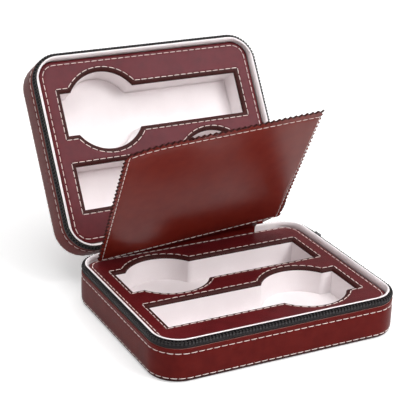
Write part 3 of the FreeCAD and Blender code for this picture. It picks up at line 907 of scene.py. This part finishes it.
def bevelled(low, high, depth=SMALL_BEVEL, by=SMALL_BEVEL):
    """Levels and shrinks of a slab from low to high with a bevel at both ends."""
    return ((low, by), (low + depth, 0.0), (high - depth, 0.0), (high, by))


def sweep(x, z, radius, first, last, steps):
    """Arc about a point between two angles in radians."""
    return [(x + radius * math.cos(a), z + radius * math.sin(a)) for a in np.linspace(first, last, steps)]


def slider():
    """Wedge-shaped slider plate with a lug and pin, and a slotted tab that hangs on the pin."""
    middle = (SLIDER_LOW + SLIDER_HIGH) / 2
    wedge = softened([(PARK - SLIDER_HALF, middle - NOSE_HALF), (PARK, SLIDER_LOW),
                      (PARK + SLIDER_HALF, SLIDER_LOW), (PARK + SLIDER_HALF, SLIDER_HIGH),
                      (PARK, SLIDER_HIGH), (PARK - SLIDER_HALF, middle + NOSE_HALF)], 1.1)
    body = Soup()
    slab(body, wedge, [(95.3, 0.1), (95.4, 0.0), (96.3, 0.0), (96.8, 0.25), (97.1, 0.7), (97.2, 1.3)], 0)
    lug = softened([(LUG_BACK, PIN_Z - 1.4), (LUG_FRONT, PIN_Z - 1.2), (LUG_FRONT, PIN_Z + 1.2),
                    (LUG_BACK, PIN_Z + 1.4)], 0.7)
    slab(body, lug, bevelled(PARK - LUG_HALF, PARK + LUG_HALF), 1)
    pin = np.array(sweep(PIN_X, PIN_Z, PIN_RADIUS, 0, 2 * math.pi, 17)[:-1])
    slab(body, pin, bevelled(PARK - PIN_HALF, PARK + PIN_HALF, by=0.25), 1)
    body.make("slider_plate", [METAL], body="slider", slot="zipper_metal", replaces=["slider_body"],
              sharp=40.0)

    tab = Soup()
    centre, shoulder = PIN_Z - TAB_LENGTH + TAB_HALF, PIN_Z - TAB_SHOULDER
    edge = np.array(sweep(PARK, centre, TAB_HALF, -math.pi, 0, 19)
                    + [(PARK + TAB_HALF, shoulder), (PARK - TAB_HALF, shoulder)])
    slot = np.array(sweep(PARK, centre + SLOT_HIGH, SLOT_RADIUS, 0, math.pi, 11)
                    + sweep(PARK, centre + SLOT_LOW, SLOT_RADIUS, math.pi, 2 * math.pi, 11))
    levels = bevelled(PIN_X - TAB_FACE, PIN_X + TAB_FACE, TAB_BEVEL_DEPTH, TAB_BEVEL)
    tab.loft([np.insert(shrunk(edge, by), 0, x, axis=1) for x, by in levels])
    tab.loft([np.insert(shrunk(slot, -by), 0, x, axis=1)[::-1] for x, by in levels])
    flat, faces = fill(shrunk(edge, TAB_BEVEL), [shrunk(slot, -TAB_BEVEL)])
    tab.add(np.insert(flat, 0, PIN_X + TAB_FACE, axis=1), faces)
    tab.add(np.insert(flat, 0, PIN_X - TAB_FACE, axis=1), [tuple(reversed(f)) for f in faces])
    foot = [(-1.1, -0.3), (-0.5, -0.8), (0.5, -0.8), (1.1, -0.3)]
    ear = np.array(sweep(PIN_X, PIN_Z, EAR_RADIUS, 0, math.pi, 15)
                   + [(PIN_X + x, shoulder + z) for x, z in foot])
    for middle in (PARK - EAR_Y, PARK + EAR_Y):
        slab(tab, ear, bevelled(middle - EAR_HALF, middle + EAR_HALF), 1)
    tab.make("slider_tab", [METAL], body="pull_tab", slot="zipper_metal", replaces=["slider_pull_tab"],
             sharp=40.0)


slider()


# ---------------------------------------------------------------- CAD pieces that stay

FINISH = {"tray_board": BOARD, "foam_block": FOAM, "zipper_stops": METAL}
for name, cad_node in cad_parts.items():
    for ending, material in FINISH.items():
        if name.endswith(ending):
            cad_node.data.materials.clear()
            cad_node.data.materials.append(material)


# ---------------------------------------------------------------- stage

def stage_object(name, mesh, material):
    """Object of the stage, with its material."""
    obj = bpy.data.objects.new(name, mesh)
    obj.data.materials.append(material)
    bpy.context.scene.collection.objects.link(obj)


WHITE = (1, 1, 1, 1)
FLOOR_HALF = 12.0
FLOOR_COLOUR = (0.86, 0.86, 0.86, 1)
FLOOR_GLOW, FLOOR_GLOW_IN_GLOSS = 0.40, 0.1
SKY_LOW, SKY_HIGH, SKY_SEEN = 0.2, 0.45, 1.05

floor_mesh = bpy.data.meshes.new("floor")
floor_mesh.from_pydata([(x * FLOOR_HALF, y * FLOOR_HALF, 0) for x, y in ((-1, -1), (1, -1), (1, 1), (-1, 1))],
                       [], [(0, 1, 2, 3)])
floor_material, bsdf, node, join = shader("floor")
path = node("ShaderNodeLightPath")
in_gloss = node("ShaderNodeMath", operation="MULTIPLY_ADD")
in_gloss.inputs[1].default_value = FLOOR_GLOW_IN_GLOSS
seen = node("ShaderNodeMath", operation="MULTIPLY")
seen.inputs[1].default_value = FLOOR_GLOW
join(path.outputs["Is Glossy Ray"], in_gloss.inputs[0])
join(path.outputs["Is Camera Ray"], seen.inputs[0])
join(seen.outputs["Value"], in_gloss.inputs[2])
join(in_gloss.outputs["Value"], bsdf.inputs["Emission Strength"])
settle(bsdf, Base_Color=FLOOR_COLOUR, Roughness=1.0, Specular_IOR_Level=0.0, Emission_Color=WHITE)
stage_object("floor", floor_mesh, floor_material)

# The world brightens upwards. The camera sees it white.
world = bpy.data.worlds.new("studio")
bpy.context.scene.world = world
world.use_nodes = True
world.node_tree.nodes.clear()
node, join = tools(world.node_tree)
out = node("ShaderNodeOutputWorld")
coordinate = node("ShaderNodeTexCoord")
split = node("ShaderNodeSeparateXYZ")
ramp = node("ShaderNodeMapRange", From_Min=-0.2, From_Max=1.0, To_Min=SKY_LOW, To_Max=SKY_HIGH)
dim = node("ShaderNodeBackground", Color=WHITE)
white = node("ShaderNodeBackground", Color=WHITE, Strength=SKY_SEEN)
ray = node("ShaderNodeLightPath")
choose = node("ShaderNodeMixShader")
join(coordinate.outputs["Generated"], split.inputs[0])
join(split.outputs["Z"], ramp.inputs["Value"])
join(ramp.outputs["Result"], dim.inputs["Strength"])
join(ray.outputs["Is Camera Ray"], choose.inputs[0])
join(dim.outputs[0], choose.inputs[1])
join(white.outputs[0], choose.inputs[2])
join(choose.outputs[0], out.inputs["Surface"])

LAMP_AIM = (0.0, 0.05, 0.05)


def softbox(name, place_at, size, power):
    """Area lamp that looks at the case. Places and sizes are metres."""
    lamp = bpy.data.lights.new(name, "AREA")
    lamp.shape = "RECTANGLE"
    lamp.size, lamp.size_y = size
    lamp.energy = power
    obj = bpy.data.objects.new(name, lamp)
    obj.location = place_at
    obj.rotation_euler = (Vector(LAMP_AIM) - Vector(place_at)).to_track_quat("-Z", "Y").to_euler()
    bpy.context.scene.collection.objects.link(obj)


softbox("key", (0.70, -0.80, 1.05), (0.7, 0.7), 13.0)
softbox("top", (0.0, 0.05, 1.3), (1.2, 1.2), 10.0)
softbox("left", (-1.0, -0.9, 0.7), (0.8, 1.0), 1.6)


# ---------------------------------------------------------------- camera

AIM = (11.98, 67.62, 54.72)
DISTANCE, YAW, PITCH, ROLL, LENS = 1033.8, 27.995, 22.624, 1.856, 118.27
SENSOR, CLIP_START = 36.0, 0.05

yaw, pitch, roll = (math.radians(v) for v in (YAW, PITCH, ROLL))
look = Vector((math.sin(yaw) * math.cos(pitch), math.cos(yaw) * math.cos(pitch), -math.sin(pitch)))
level_right = Vector((math.cos(yaw), -math.sin(yaw), 0))
level_up = level_right.cross(look)
right = math.cos(roll) * level_right + math.sin(roll) * level_up
up = -math.sin(roll) * level_right + math.cos(roll) * level_up
at = (Vector(AIM) - look * DISTANCE) * MM
camera_data = bpy.data.cameras.new("camera")
camera_data.lens = LENS
camera_data.sensor_width = SENSOR
camera_data.clip_start = CLIP_START
camera = bpy.data.objects.new("camera", camera_data)
camera.matrix_world = Matrix(((right.x, up.x, -look.x, at.x), (right.y, up.y, -look.y, at.y),
                              (right.z, up.z, -look.z, at.z), (0, 0, 0, 1)))
bpy.context.scene.collection.objects.link(camera)
bpy.context.scene.camera = camera
bpy.context.scene.view_settings.view_transform = "Standard"

bpy.context.view_layer.update()
